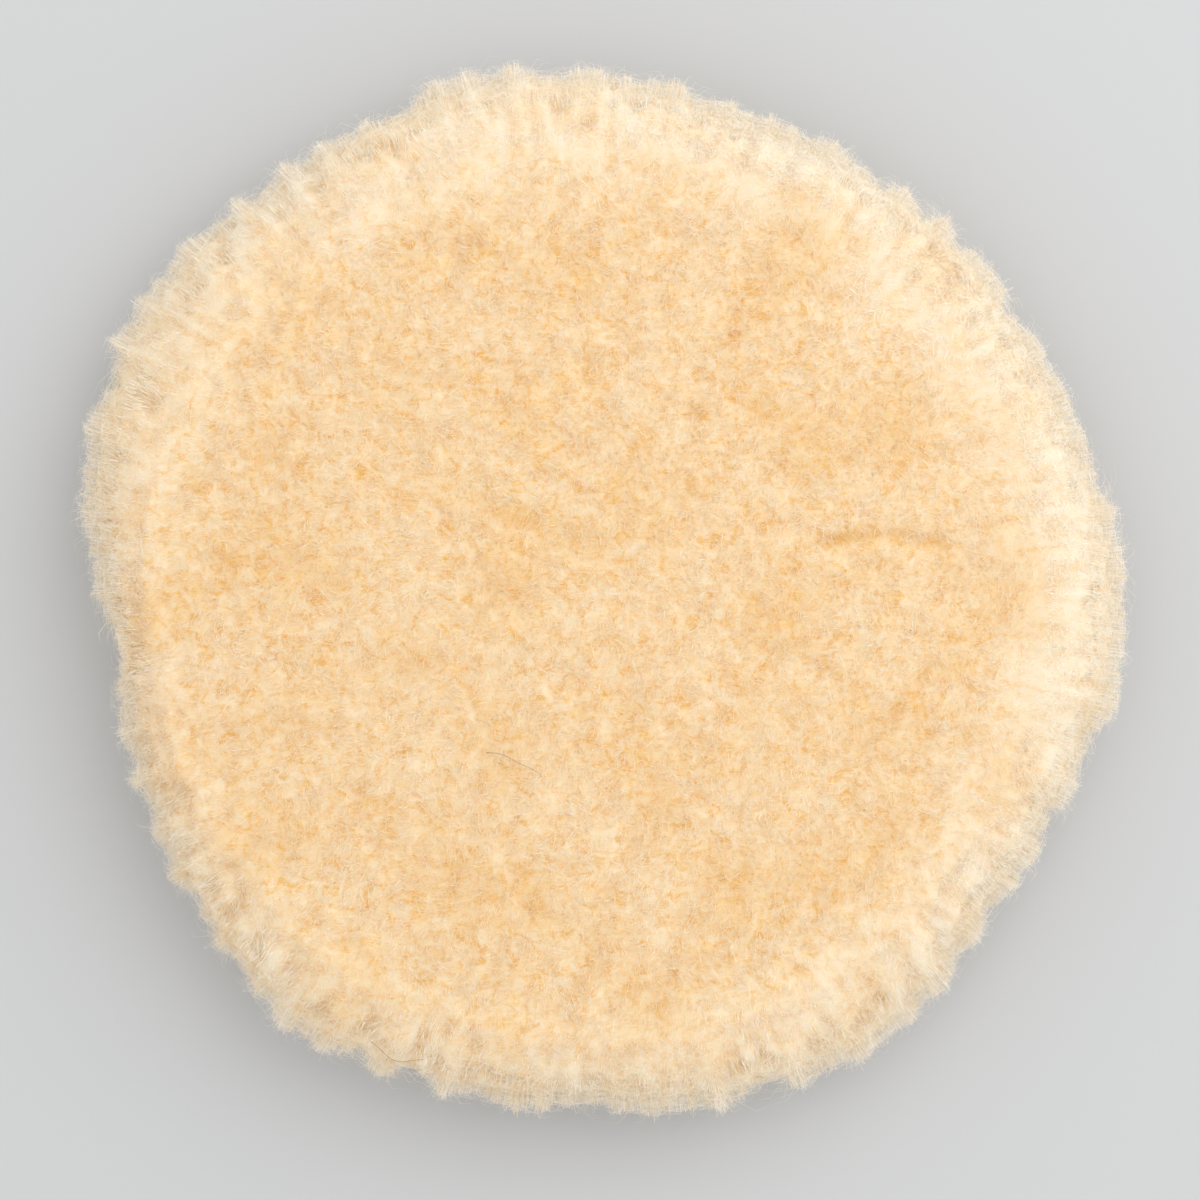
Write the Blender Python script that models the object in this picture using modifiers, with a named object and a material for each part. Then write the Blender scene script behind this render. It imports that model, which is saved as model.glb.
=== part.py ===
"""Sheepskin polishing pad with a hook-and-loop back, lying on its loop face with the wool up.

The frame is in metres with +Z up. The origin is the centre of the loop face, which is
the flat face that the machine's backing plate grips, and the pad is built up from it in
the order a maker lays it together: looped nap, knitted ground cloth, bonding film,
tanned hide, wool pile, and the lockstitch seam that goes through all but the film.
"""

from math import atan2, cos, pi, radians, sin

import bmesh
import bpy
from mathutils import Matrix, Vector

# Fit between pieces that touch
GAP = 0.0003

# Loop backing, die-cut to a true circle
CLOTH_RADIUS = 0.0700
NAP_DEPTH = 0.0014
NAP_EDGE_ROUNDING = 0.0004
GROUND_THICKNESS = 0.0006
FILM_THICKNESS = 0.0002

# Tanned skin, cut by hand a little larger than the backing
HIDE_MARGIN = 0.0060
HIDE_THICKNESS = 0.0018

# Wool that grows from the skin, sheared level
WOOL_LENGTH = 0.0200
WOOL_CROWN = 0.0016
WOOL_SPLAY = 0.0065
WOOL_SHOULDER = 0.0150
WOOL_BELLY_HEIGHT = 0.0070

# Seam
SEAM_INSET = 0.0032
STITCHES = 60
THREAD_DIAMETER = 0.0006
THREAD_LIFT = 0.0001
SLIT_WIDTH = 0.0011
SLIT_MARGIN = 0.0002

# The hand-cut outline wanders in and out: waves round the edge, height, direction of a crest
LOBES = (
    (2, 0.0017, -58),
    (3, 0.0015, 9),
    (4, 0.0005, -33),
    (5, 0.0013, 11),
    (6, 0.0009, -12),
    (7, 0.0007, -5),
)
HIDE_LOBE_SHARE = 0.4

ROUND_STEPS = 72
OUTLINE_POINTS = 96
DOME_ROWS = 4
SHOULDER_ROWS = 6
BELLY_ROWS = 3

# Heights, from the loop face upwards
NAP_TOP = NAP_DEPTH
GROUND_BASE = NAP_TOP + GAP
GROUND_TOP = GROUND_BASE + GROUND_THICKNESS
FILM_BASE = GROUND_TOP + GAP
FILM_TOP = FILM_BASE + FILM_THICKNESS
HIDE_BASE = FILM_TOP + GAP
HIDE_TOP = HIDE_BASE + HIDE_THICKNESS
WOOL_BASE = HIDE_TOP + GAP
WOOL_TOP = WOOL_BASE + WOOL_LENGTH

# Radii, from the backing outwards
HIDE_RADIUS = CLOTH_RADIUS + HIDE_MARGIN
WOOL_RADIUS = HIDE_RADIUS + WOOL_SPLAY

# Seam, worked out from the thread
SEAM_RADIUS = CLOTH_RADIUS - SEAM_INSET
THREAD_RADIUS = THREAD_DIAMETER / 2
NEEDLE_LOW = THREAD_LIFT + THREAD_RADIUS
BOBBIN_HEIGHT = HIDE_TOP + GAP + THREAD_RADIUS
NEEDLE_HIGH = BOBBIN_HEIGHT + THREAD_DIAMETER + GAP
LEG_OFFSET = THREAD_DIAMETER + GAP
SLIT_HALF_LENGTH = LEG_OFFSET + THREAD_RADIUS + SLIT_MARGIN
CHANNEL_HALF_WIDTH = SLIT_HALF_LENGTH + GAP
NAP_CHANNEL_TOP = NEEDLE_LOW + THREAD_RADIUS + GAP
WOOL_CHANNEL_TOP = NEEDLE_HIGH + THREAD_RADIUS + GAP
FILM_RADIUS = SEAM_RADIUS - CHANNEL_HALF_WIDTH - GAP

# Colour, roughness
FINISHES = {
    "wool": ((0.91, 0.67, 0.38), 0.95),
    "suede": ((0.62, 0.44, 0.24), 0.90),
    "film": ((0.80, 0.76, 0.62), 0.45),
    "knit": ((0.60, 0.60, 0.58), 0.85),
    "nap": ((0.70, 0.70, 0.68), 0.95),
    "needle_thread": ((0.86, 0.83, 0.76), 0.55),
    "bobbin_thread": ((0.84, 0.80, 0.70), 0.55),
}


def clear_scene():
    for obj in list(bpy.data.objects):
        bpy.data.objects.remove(obj, do_unlink=True)


def new_collection(name):
    collection = bpy.data.collections.new(name)
    bpy.context.scene.collection.children.link(collection)
    return collection


def new_material(name, colour, roughness):
    material = bpy.data.materials.new(name)
    material.use_nodes = True
    shader = material.node_tree.nodes["Principled BSDF"]
    shader.inputs["Base Color"].default_value = (*colour, 1)
    shader.inputs["Roughness"].default_value = roughness
    return material


def new_object(name, data, collection, finish=None):
    obj = bpy.data.objects.new(name, data)
    collection.objects.link(obj)
    if finish:
        data.materials.append(new_material(finish, *FINISHES[finish]))
    return obj


def as_mesh(obj):
    """Replaces an object that has modifiers, or a curve, with its finished, welded mesh."""
    graph = bpy.context.evaluated_depsgraph_get()
    mesh = bpy.data.meshes.new_from_object(obj.evaluated_get(graph))
    bm = bmesh.new()
    bm.from_mesh(mesh)
    bmesh.ops.remove_doubles(bm, verts=bm.verts, dist=1e-6)
    bm.to_mesh(mesh)
    bm.free()
    name, place = obj.name, obj.matrix_world.copy()
    collection = obj.users_collection[0]
    bpy.data.objects.remove(obj, do_unlink=True)
    solid = bpy.data.objects.new(name, mesh)
    solid.matrix_world = place
    collection.objects.link(solid)
    return solid


def shade_smooth(obj, sharp_degrees=40):
    obj.data.shade_smooth()
    obj.data.set_sharp_from_angle(angle=radians(sharp_degrees))


def lobe(angle):
    """How far the cut edge stands out from its mean circle in this direction."""
    return sum(h * cos(n * (angle - radians(crest))) for n, h, crest in LOBES)


def polar(radius, angle, height=0.0):
    return Vector((radius * cos(angle), radius * sin(angle), height))


def flat_piece(name, finish, outline, base, thickness):
    """An outline in the XY plane, extruded upwards from base."""
    curve = bpy.data.curves.new(name, "CURVE")
    curve.dimensions = "2D"
    curve.fill_mode = "BOTH"
    curve.extrude = thickness / 2
    spline = curve.splines.new("POLY")
    spline.points.add(len(outline) - 1)
    for point, place in zip(spline.points, outline):
        point.co = (place.x, place.y, 0, 1)
    spline.use_cyclic_u = True
    obj = new_object(name, curve, parts, finish)
    obj.location.z = base + thickness / 2
    bpy.context.view_layer.update()
    return as_mesh(obj)


def turned_piece(name, finish, profile):
    """A profile of (radius, height) turned about Z. It runs from the axis, down its outer side, to the axis."""
    mesh = bpy.data.meshes.new(name)
    links = [(i, i + 1) for i in range(len(profile) - 1)]
    mesh.from_pydata([(radius, 0, height) for radius, height in profile], links, [])
    obj = new_object(name, mesh, parts, finish)
    screw = obj.modifiers.new("Turn", "SCREW")
    screw.steps = screw.render_steps = ROUND_STEPS
    screw.use_merge_vertices = True
    screw.merge_threshold = 1e-6
    return as_mesh(obj)


def stitch_angle(index):
    return 2 * pi * index / STITCHES


def make_slit_cutter():
    """One blade for each stitch, standing on the seam circle with its long side radial."""
    bm = bmesh.new()
    shape = Matrix.Diagonal((2 * SLIT_HALF_LENGTH, SLIT_WIDTH, WOOL_BASE, 1))
    place = Matrix.Translation((SEAM_RADIUS, 0, WOOL_BASE / 2))
    for index in range(STITCHES):
        turn = Matrix.Rotation(stitch_angle(index), 4, "Z")
        bmesh.ops.create_cube(bm, size=1, matrix=turn @ place @ shape)
    mesh = bpy.data.meshes.new("needle_blades")
    bm.to_mesh(mesh)
    bm.free()
    cutter = new_object("needle_blades", mesh, cutters)
    cutter.hide_render = True
    cutter.display_type = "WIRE"
    return cutter


def pierce(piece, cutter):
    cut = piece.modifiers.new("Needle slits", "BOOLEAN")
    cut.operation = "DIFFERENCE"
    cut.solver = "EXACT"
    cut.object = cutter


def make_loop_nap():
    """The brushed loops: a disc with a channel in its lower face where the seam presses them down."""
    inner, outer = SEAM_RADIUS - CHANNEL_HALF_WIDTH, SEAM_RADIUS + CHANNEL_HALF_WIDTH
    profile = [
        (0, NAP_TOP),
        (CLOTH_RADIUS, NAP_TOP),
        (CLOTH_RADIUS, NAP_EDGE_ROUNDING),
        (CLOTH_RADIUS - NAP_EDGE_ROUNDING, 0),
        (outer, 0),
        (outer, NAP_CHANNEL_TOP),
        (inner, NAP_CHANNEL_TOP),
        (inner, 0),
        (0, 0),
    ]
    return turned_piece("loop_cloth_nap", "nap", profile)


def make_loop_ground():
    """The knitted cloth that holds the loops, a plain die-cut disc."""
    outline = [polar(CLOTH_RADIUS, 2 * pi * i / ROUND_STEPS) for i in range(ROUND_STEPS)]
    return flat_piece("loop_cloth_ground", "knit", outline, GROUND_BASE, GROUND_THICKNESS)


def make_bonding_film():
    """The adhesive between cloth and hide, which stops short of the seam."""
    bpy.ops.mesh.primitive_cylinder_add(
        vertices=ROUND_STEPS,
        radius=FILM_RADIUS,
        depth=FILM_THICKNESS,
        location=(0, 0, FILM_BASE + FILM_THICKNESS / 2),
    )
    film = bpy.context.active_object
    film.name = film.data.name = "bonding_film"
    for collection in list(film.users_collection):
        collection.objects.unlink(film)
    parts.objects.link(film)
    film.data.materials.append(new_material("film", *FINISHES["film"]))
    return film


def make_hide():
    """The skin, whose edge follows part of the outline's wander."""
    outline = []
    for i in range(OUTLINE_POINTS):
        angle = 2 * pi * i / OUTLINE_POINTS
        outline.append(polar(HIDE_RADIUS + HIDE_LOBE_SHARE * lobe(angle), angle))
    return flat_piece("sheepskin_hide", "suede", outline, HIDE_BASE, HIDE_THICKNESS)


def wool_profile():
    """Half of the pile's section: crown, round shoulder, widest belly, foot at the hide, seam channel."""
    belly = WOOL_BASE + WOOL_BELLY_HEIGHT
    shoulder_start = WOOL_RADIUS - WOOL_SHOULDER
    shoulder_top = WOOL_TOP - WOOL_CROWN
    profile = []
    for i in range(DOME_ROWS):
        radius = shoulder_start * i / DOME_ROWS
        profile.append((radius, WOOL_TOP - WOOL_CROWN * (radius / shoulder_start) ** 2))
    for i in range(SHOULDER_ROWS):
        turn = pi / 2 * i / SHOULDER_ROWS
        radius = shoulder_start + WOOL_SHOULDER * sin(turn)
        profile.append((radius, belly + (shoulder_top - belly) * cos(turn)))
    for i in range(BELLY_ROWS + 1):
        turn = pi / 2 * i / BELLY_ROWS
        radius = WOOL_RADIUS - WOOL_SPLAY * (1 - cos(turn))
        profile.append((radius, belly - WOOL_BELLY_HEIGHT * sin(turn)))
    profile += [
        (SEAM_RADIUS + CHANNEL_HALF_WIDTH, WOOL_BASE),
        (SEAM_RADIUS + CHANNEL_HALF_WIDTH, WOOL_CHANNEL_TOP),
        (SEAM_RADIUS - CHANNEL_HALF_WIDTH, WOOL_CHANNEL_TOP),
        (SEAM_RADIUS - CHANNEL_HALF_WIDTH, WOOL_BASE),
        (0, WOOL_BASE),
    ]
    return profile


def make_wool_pile():
    """The fleece as one closed form. Outside the seam channel it is drawn out to the wandering outline."""
    pile = turned_piece("wool_pile", "wool", wool_profile())
    still = SEAM_RADIUS + CHANNEL_HALF_WIDTH
    for vertex in pile.data.vertices:
        radius = vertex.co.xy.length
        share = max((radius - still) / (WOOL_RADIUS - still), 0)
        if share:
            angle = atan2(vertex.co.y, vertex.co.x)
            vertex.co = polar(radius + share * lobe(angle), angle, vertex.co.z)
    return pile


def thread(name, finish, points):
    """A closed loop of thread through these points."""
    curve = bpy.data.curves.new(name, "CURVE")
    curve.dimensions = "3D"
    curve.bevel_depth = THREAD_RADIUS
    curve.bevel_resolution = 1
    spline = curve.splines.new("POLY")
    spline.points.add(len(points) - 1)
    for point, place in zip(spline.points, points):
        point.co = (*place, 1)
    spline.use_cyclic_u = True
    return new_object(name, curve, parts, finish)


def make_needle_thread():
    """Runs along the loop face and, at each slit, up through the hide, over the bobbin thread and back."""
    inner, outer = SEAM_RADIUS - LEG_OFFSET, SEAM_RADIUS + LEG_OFFSET
    points = []
    for index in range(STITCHES):
        angle = stitch_angle(index)
        points.append(polar(inner, angle, NEEDLE_LOW))
        points.append(polar(inner, angle, NEEDLE_HIGH))
        points.append(polar(outer, angle, NEEDLE_HIGH))
        points.append(polar(outer, angle, NEEDLE_LOW))
    return thread("seam_needle_thread", "needle_thread", points)


def make_bobbin_thread():
    """Lies on the hide at the foot of the wool, held by the needle thread's loops."""
    points = [polar(SEAM_RADIUS, stitch_angle(i), BOBBIN_HEIGHT) for i in range(STITCHES)]
    return thread("seam_bobbin_thread", "bobbin_thread", points)


clear_scene()
parts = new_collection("sheepskin_polishing_pad")
cutters = new_collection("cutters")

slits = make_slit_cutter()
for pierced in (make_loop_nap(), make_loop_ground(), make_hide()):
    pierce(pierced, slits)
make_bonding_film()
shade_smooth(make_wool_pile())
make_needle_thread()
make_bobbin_thread()
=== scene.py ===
"""A natural sheepskin polishing pad with a hook-and-loop back, lying wool side up.

The sections follow the pad as it is laid up, from the loop face to the wool, and then the
floor, the lights and the camera. Lengths are in metres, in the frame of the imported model.
"""

import math

import bpy
import numpy as np
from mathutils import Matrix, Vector


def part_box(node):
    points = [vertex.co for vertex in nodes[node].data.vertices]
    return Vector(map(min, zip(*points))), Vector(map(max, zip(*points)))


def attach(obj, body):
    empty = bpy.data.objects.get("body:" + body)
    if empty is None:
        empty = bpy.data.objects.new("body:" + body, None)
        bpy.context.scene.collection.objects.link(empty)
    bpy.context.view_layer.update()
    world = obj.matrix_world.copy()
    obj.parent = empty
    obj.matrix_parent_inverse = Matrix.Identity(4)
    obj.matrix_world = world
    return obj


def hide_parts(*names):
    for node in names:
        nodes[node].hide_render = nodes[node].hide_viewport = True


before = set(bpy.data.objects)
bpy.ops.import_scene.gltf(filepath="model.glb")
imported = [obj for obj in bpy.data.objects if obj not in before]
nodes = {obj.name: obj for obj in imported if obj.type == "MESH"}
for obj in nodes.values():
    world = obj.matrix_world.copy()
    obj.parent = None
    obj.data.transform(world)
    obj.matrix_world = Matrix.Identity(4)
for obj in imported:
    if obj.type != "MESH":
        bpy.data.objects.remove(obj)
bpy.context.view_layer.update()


# ---------------------------------------------------------------- loop nap
# The face that the machine's plate grips: nylon loops raised and brushed out of the backing
# cloth, a little over a millimetre deep. The edge seam presses them flat in a narrow channel.

CLOTH_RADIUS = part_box("loop_cloth_nap")[1].x
NAP_FACE = 0.0009
NAP_BACK = 0.0016
LOOP_ROOT = NAP_FACE + 0.0001
SEAM_CHANNEL = (0.0651, 0.0685)
CHANNEL_STEP = 0.0004
AXIS_GAP = 0.0006
LOOPS = 5400
LOOP_RADIUS = 0.00005
LOOP_JITTER = 0.0002
LOOP_HALF_WIDTH = 0.00042
CHANNEL_MARGIN = 0.0002
FIBRE_TAPER = 0.75
FIBRE_MAP_STEP = 0.004
GOLDEN_ANGLE = math.pi * (3 - math.sqrt(5))
NAP_COLOURS = [(0.25, (0.50, 0.50, 0.48)), (0.55, (0.64, 0.64, 0.615)), (0.85, (0.74, 0.74, 0.715))]
LOOP_COLOURS = [(0.0, (0.60, 0.60, 0.58)), (0.5, (0.74, 0.74, 0.72)), (1.0, (0.88, 0.88, 0.86))]
draw = np.random.default_rng(20)


def new_mesh(name, points, faces, uv=None, smooth=True):
    """A mesh object at the origin from arrays of points and of equal-sided faces."""
    mesh = bpy.data.meshes.new(name)
    mesh.vertices.add(len(points))
    mesh.vertices.foreach_set("co", points.astype(np.float32).ravel())
    mesh.loops.add(faces.size)
    mesh.loops.foreach_set("vertex_index", faces.astype(np.int32).ravel())
    mesh.polygons.add(len(faces))
    mesh.polygons.foreach_set("loop_start", np.arange(0, faces.size, faces.shape[1], dtype=np.int32))
    mesh.polygons.foreach_set("use_smooth", np.full(len(faces), smooth))
    if uv is not None:
        layer = mesh.uv_layers.new(name="OFBake")
        layer.data.foreach_set("uv", uv[faces].astype(np.float32).ravel())
    mesh.update(calc_edges=True)
    obj = bpy.data.objects.new(name, mesh)
    bpy.context.scene.collection.objects.link(obj)
    return obj


def capped(rings):
    """A closed surface from rings of points round the axis, from the middle of its upper side
    out over the edge and in to the middle of its lower side. Each end closes in a fan."""
    rows, columns = rings.shape[:2]
    row, column = np.meshgrid(np.arange(rows - 1), np.arange(columns), indexing="ij")
    a, b = (row * columns + column).ravel(), (row * columns + (column + 1) % columns).ravel()
    first, last, tail = rows * columns, rows * columns + 1, (rows - 1) * columns
    around = np.arange(columns)
    after = (around + 1) % columns
    triangles = np.concatenate([np.stack([a, a + columns, b + columns], 1),
                                np.stack([a, b + columns, b], 1),
                                np.stack([np.full(columns, first), around, after], 1),
                                np.stack([np.full(columns, last), tail + after, tail + around], 1)])
    points = np.concatenate([rings.reshape(-1, 3), [rings[0].mean(0)], [rings[-1].mean(0)]])
    return points, triangles


def ripple(x, y, size, seed, count=26):
    """Smooth noise of about -1 to 1: the sum of sine waves of about this size that cross one
    another at many angles."""
    pick = np.random.default_rng(seed)
    turn, shift = pick.uniform(0, 2 * math.pi, (2, count))
    pace = 2 * math.pi / size * pick.uniform(0.6, 1.5, count)
    total = np.zeros(np.broadcast(x, y).shape)
    for k in range(count):
        total += np.sin((x * math.cos(turn[k]) + y * math.sin(turn[k])) * pace[k] + shift[k])
    return total / math.sqrt(count / 2) / 1.6


def disc_rings(section, columns, wander=0.0, seed=0):
    """Rings of a disc from its section, a list of radius and height. The outer rings wander in
    and out round the edge by a small smooth noise, as a cut edge does."""
    angle = np.arange(columns) / columns * 2 * math.pi
    radius, height = np.array(section, float).T[:, :, None] + np.zeros(columns)
    edge = radius.max()
    share = np.clip(radius / edge - 0.93, 0, 0.07) / 0.07
    radius = radius + wander * share * ripple(edge * np.cos(angle), edge * np.sin(angle), 0.006, seed)
    return np.stack([radius * np.cos(angle), radius * np.sin(angle), height], -1)


def nodes_of(material):
    """A material's nodes and its links."""
    tree = material.node_tree
    return tree.nodes, tree.links


def ramp(node, stops):
    """Sets a colour ramp's stops, each a place and a colour."""
    elements = node.color_ramp.elements
    while len(elements) < len(stops):
        elements.new(0.5)
    for element, (place, colour) in zip(elements, stops):
        element.position = place
        element.color = (*colour, 1)


def mottled_material(name, stops, scale, detail, grain, depth, roughness):
    """A matte finish whose colour runs through the stops by a soft noise on Object coordinates,
    with a finer noise as its relief, grain waves to the metre and depth metres deep."""
    material = bpy.data.materials.new(name)
    material.use_nodes = True
    tree, link = nodes_of(material)
    shader = tree["Principled BSDF"]
    where = tree.new("ShaderNodeTexCoord")
    mottle = tree.new("ShaderNodeTexNoise")
    mottle.inputs["Scale"].default_value = scale
    mottle.inputs["Detail"].default_value = detail
    mottle.inputs["Roughness"].default_value = 0.62
    mottle.inputs["Distortion"].default_value = 0.9
    tint = tree.new("ShaderNodeValToRGB")
    tint.name = "tint"
    ramp(tint, stops)
    relief = tree.new("ShaderNodeTexNoise")
    relief.inputs["Scale"].default_value = grain
    relief.inputs["Detail"].default_value = 3
    relief.inputs["Distortion"].default_value = 1.5
    bump = tree.new("ShaderNodeBump")
    bump.name = "relief"
    bump.inputs["Strength"].default_value = 0.5
    bump.inputs["Distance"].default_value = depth
    link.new(where.outputs["Object"], mottle.inputs["Vector"])
    link.new(mottle.outputs["Fac"], tint.inputs[0])
    link.new(tint.outputs[0], shader.inputs["Base Color"])
    link.new(where.outputs["Object"], relief.inputs["Vector"])
    link.new(relief.outputs["Fac"], bump.inputs["Height"])
    link.new(bump.outputs["Normal"], shader.inputs["Normal"])
    shader.inputs["Roughness"].default_value = roughness
    shader.inputs["Specular IOR Level"].default_value = 0.15
    return material


def fibre_material(name, tips, roots):
    """A fibre's finish, read from its own map: across the map from one shade to another, and up
    it from the roots' colours to the tips'."""
    material = bpy.data.materials.new(name)
    material.use_nodes = True
    tree, link = nodes_of(material)
    shader = tree["Principled BSDF"]
    shader.inputs["Roughness"].default_value = 0.9
    shader.inputs["Specular IOR Level"].default_value = 0.12
    place = tree.new("ShaderNodeUVMap")
    place.uv_map = "OFBake"
    split = tree.new("ShaderNodeSeparateXYZ")
    at_tip = tree.new("ShaderNodeValToRGB")
    ramp(at_tip, tips)
    at_root = tree.new("ShaderNodeValToRGB")
    ramp(at_root, roots)
    rise = tree.new("ShaderNodeValToRGB")
    ramp(rise, [(0.25, (0, 0, 0)), (0.80, (1, 1, 1))])
    mix = tree.new("ShaderNodeMix")
    mix.data_type = "RGBA"
    link.new(place.outputs["UV"], split.inputs[0])
    link.new(split.outputs[0], at_tip.inputs[0])
    link.new(split.outputs[0], at_root.inputs[0])
    link.new(split.outputs[1], rise.inputs[0])
    link.new(rise.outputs[0], mix.inputs["Factor"])
    link.new(at_root.outputs[0], mix.inputs["A"])
    link.new(at_tip.outputs[0], mix.inputs["B"])
    link.new(mix.outputs["Result"], shader.inputs["Base Color"])
    return material


def fibres(paths, radius, shades, outward):
    """Three-sided fibres, one for each path of points: a ring of corners at each point but the
    last, where the sides meet, and a cap at the root. A fibre thins towards its tip, and one
    side of it faces outward. The map has its shade across and the share of its length upwards."""
    count, stops = paths.shape[:2]
    rings = stops - 1
    along = np.gradient(paths, axis=1)
    along /= np.linalg.norm(along, axis=2, keepdims=True)
    side = np.cross(along, outward[:, None])
    side /= np.linalg.norm(side, axis=2, keepdims=True)
    other = np.cross(along, side)
    turn = math.pi / 2 + np.arange(3) * 2 * math.pi / 3
    taper = np.linspace(1.0, FIBRE_TAPER, rings)
    ring = (side[:, :rings, None] * np.cos(turn)[None, None, :, None]
            + other[:, :rings, None] * np.sin(turn)[None, None, :, None])
    spread = ring * radius[:, None, None, None] * taper[None, :, None, None]
    corners = (paths[:, :rings, None] + spread).reshape(count, -1, 3)
    corners = np.concatenate([corners, paths[:, -1:]], 1)
    step, corner = np.meshgrid(np.arange(rings - 1) * 3, np.arange(3), indexing="ij")
    a, b = (step + corner).ravel(), (step + (corner + 1) % 3).ravel()
    last, tip = (rings - 1) * 3, rings * 3
    pattern = np.concatenate([[(2, 1, 0)], np.stack([a, b, b + 3], 1), np.stack([a, b + 3, a + 3], 1),
                              [(last, last + 1, tip), (last + 1, last + 2, tip), (last + 2, last, tip)]])
    triangles = (np.arange(count)[:, None, None] * (tip + 1) + pattern).reshape(-1, 3)
    u = shades[:, None] + np.append(np.tile([-FIBRE_MAP_STEP, 0.0, FIBRE_MAP_STEP], rings), 0.0)
    v = np.append(np.repeat(np.arange(rings) / rings, 3), 1.0) + np.zeros((count, 1))
    return corners.reshape(-1, 3), triangles, np.stack([u, v], 2).reshape(-1, 2)


def nap_section():
    """Radius and height of the nap's bed, from the middle of its back to the middle of its face,
    with the step into the seam's channel."""
    inner, outer = SEAM_CHANNEL
    pressed = NAP_FACE + CHANNEL_STEP
    back = [(r, NAP_BACK) for r in np.linspace(AXIS_GAP, 0.0690, 12)]
    edge = [(CLOTH_RADIUS - 0.0002, NAP_BACK), (CLOTH_RADIUS, NAP_BACK - 0.0002),
            (CLOTH_RADIUS, NAP_FACE + 0.0003), (CLOTH_RADIUS - 0.0004, NAP_FACE)]
    band = [(outer, NAP_FACE), (outer - 0.0003, pressed), (inner + 0.0003, pressed), (inner, NAP_FACE)]
    face = [(r, NAP_FACE) for r in np.linspace(0.0646, AXIS_GAP, 110)]
    return back + edge + band + face


def loop_paths():
    """Half turns of an ellipse that hang from the bed, scattered on a golden-angle spiral with
    none in the channel. Each stands mostly along the knit, leans over, and is a little larger
    or smaller."""
    r = np.sqrt((np.arange(LOOPS) + 0.5) / LOOPS) * (CLOTH_RADIUS - 0.0008)
    r = np.clip(r + draw.normal(0, LOOP_JITTER, LOOPS), 0.0002, CLOTH_RADIUS - 0.0006)
    stray = draw.normal(0, 1.5 * LOOP_JITTER, LOOPS) / np.maximum(r, 0.001)
    angle = np.arange(LOOPS) * GOLDEN_ANGLE + stray
    free = (r < SEAM_CHANNEL[0] - CHANNEL_MARGIN) | (r > SEAM_CHANNEL[1] + CHANNEL_MARGIN)
    r, angle = r[free], angle[free]
    n = len(r)
    heading = draw.normal(0.4, 0.7, n)
    half = LOOP_HALF_WIDTH * draw.uniform(0.75, 1.35, n)
    deep = LOOP_ROOT * draw.uniform(0.72, 0.97, n)
    lean = draw.normal(0.0002, 0.00035, n)
    t = np.linspace(0, math.pi, 6)
    run, drop = np.cos(t) * half[:, None], np.sin(t)
    to_x, to_y = np.cos(heading)[:, None], np.sin(heading)[:, None]
    x = (r * np.cos(angle))[:, None] + run * to_x - drop * lean[:, None] * to_y
    y = (r * np.sin(angle))[:, None] + run * to_y + drop * lean[:, None] * to_x
    z = LOOP_ROOT - drop * deep[:, None] + 0.00008 * (1 - drop)
    return np.stack([x, y, z], -1)


rings = disc_rings(nap_section(), 360, 0.00012, 31)
face_side = np.abs(rings[..., 2] - NAP_FACE) < 0.00002
rings[..., 2] += face_side * 0.00009 * ripple(rings[..., 0], rings[..., 1], 0.0016, 32)
nap = new_mesh("loop_nap_bed", *capped(rings))
nap.data.materials.append(mottled_material("loop_nap_bed", NAP_COLOURS, 900, 5, 5200, 0.0002, 0.95))
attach(nap, "root")
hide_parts("loop_cloth_nap")

paths = loop_paths()
sideways = np.tile([0.3, 0.4, -0.87], (len(paths), 1))
thick = LOOP_RADIUS * draw.uniform(0.8, 1.3, len(paths))
loops = new_mesh("loop_nap_loops", *fibres(paths, thick, draw.uniform(0.1, 0.9, len(paths)), sideways))
loops.data.materials.append(fibre_material("loop_nap_loops", LOOP_COLOURS, NAP_COLOURS))
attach(loops, "root")


# ---------------------------------------------------------------- knitted ground cloth
# The warp-knitted nylon ground that holds the loops, die-cut to a disc. Its wales show as fine
# ribs, and its cut edge is slightly frayed.

GROUND_FACE = NAP_BACK + 0.0001
GROUND_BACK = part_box("loop_cloth_ground")[1].z + 0.0001
WALE_PITCH = 0.0009
COURSE_PITCH = 0.0006
PITCH_TO_SCALE = 0.314
FRAYED_FROM = 0.0692
KNIT_COLOURS = [(0.2, (0.46, 0.46, 0.44)), (0.5, (0.58, 0.58, 0.56)), (0.8, (0.67, 0.67, 0.65))]


def knit_material():
    """A mottled grey nylon with a relief of wales and courses: two sets of waves at right
    angles, multiplied together."""
    material = mottled_material("knit_cloth", KNIT_COLOURS, 1400, 4, 6000, 0.0002, 0.85)
    tree, link = nodes_of(material)
    where = tree["Texture Coordinate"]
    wales = tree.new("ShaderNodeTexWave")
    wales.bands_direction = "X"
    wales.inputs["Scale"].default_value = PITCH_TO_SCALE / WALE_PITCH
    wales.inputs["Distortion"].default_value = 0.8
    courses = tree.new("ShaderNodeTexWave")
    courses.bands_direction = "Y"
    courses.inputs["Scale"].default_value = PITCH_TO_SCALE / COURSE_PITCH
    courses.inputs["Distortion"].default_value = 0.8
    both = tree.new("ShaderNodeMath")
    both.operation = "MULTIPLY"
    link.new(where.outputs["Object"], wales.inputs["Vector"])
    link.new(where.outputs["Object"], courses.inputs["Vector"])
    link.new(wales.outputs["Fac"], both.inputs[0])
    link.new(courses.outputs["Fac"], both.inputs[1])
    link.new(both.outputs[0], tree["relief"].inputs["Height"])
    return material


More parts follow.
